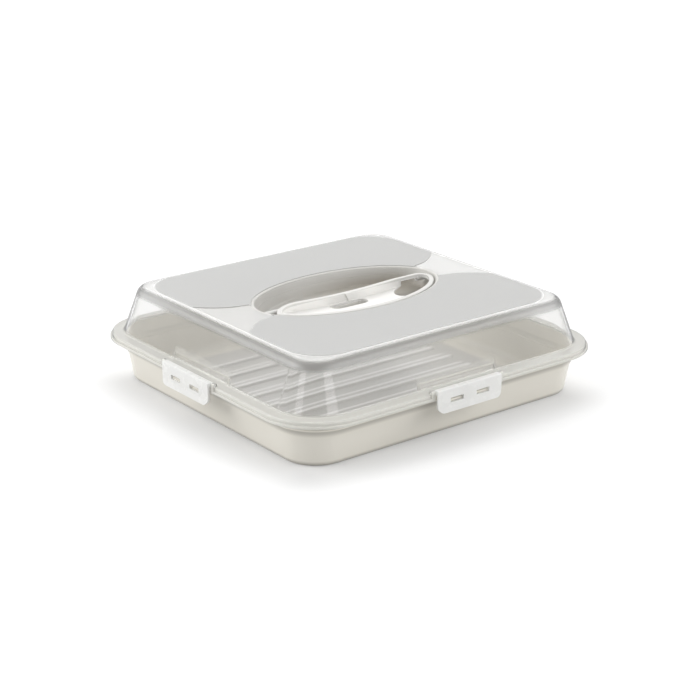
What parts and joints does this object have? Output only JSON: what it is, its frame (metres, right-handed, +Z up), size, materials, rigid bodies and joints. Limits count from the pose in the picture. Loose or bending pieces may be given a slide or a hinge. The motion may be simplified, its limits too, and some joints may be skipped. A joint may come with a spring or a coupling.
{
  "type": "cake carrier",
  "caption": "Low square cake carrier: a ribbed tray, a see-through dome lid held by edge clips, and a carrying handle that folds down into an oval pocket.",
  "frame": {"origin": "under the middle of the tray, on the surface it stands on", "axes": "+Z up; X runs along the handle's hinge line; -Y is the front, the side the handle folds down towards"},
  "size_m": [0.3688, 0.3538, 0.0919],
  "materials": {
    "cream_plastic": "satin moulded polypropylene",
    "clear_plastic": "see-through, glossy, with two frosted panels on top",
    "milky_plastic": "milky, lets light through"
  },
  "bodies": {
    "tray": {"tray": "cream_plastic"},
    "lid": {"lid": "clear_plastic"},
    "handle": {"handle": "cream_plastic"},
    "clip_front": {"clip_front": "milky_plastic"},
    "clip_right": {"clip_right": "milky_plastic"},
    "clip_back": {"clip_back": "milky_plastic"},
    "clip_left": {"clip_left": "milky_plastic"}
  },
  "joints": [
    {"name": "lid_lift", "type": "slide", "parent": "tray", "child": "lid", "axis": [0, 0, 1], "range_m": [0, 0.12]},
    {"name": "handle_fold", "type": "hinge", "parent": "lid", "child": "handle", "pos_m": [0, 0, 0.0864], "axis": [-1, 0, 0], "range_deg": [0, 90]},
    {"name": "clip_front_flip", "type": "hinge", "parent": "lid", "child": "clip_front", "pos_m": [0, -0.1702, 0.0485], "axis": [-1, 0, 0], "range_deg": [0, 110]},
    {"name": "clip_right_flip", "type": "hinge", "parent": "lid", "child": "clip_right", "pos_m": [0.1777, 0, 0.0485], "axis": [0, -1, 0], "range_deg": [0, 110]},
    {"name": "clip_back_flip", "type": "hinge", "parent": "lid", "child": "clip_back", "pos_m": [0, 0.1702, 0.0485], "axis": [1, 0, 0], "range_deg": [0, 110]},
    {"name": "clip_left_flip", "type": "hinge", "parent": "lid", "child": "clip_left", "pos_m": [-0.1777, 0, 0.0485], "axis": [0, 1, 0], "range_deg": [0, 110]}
  ]
}
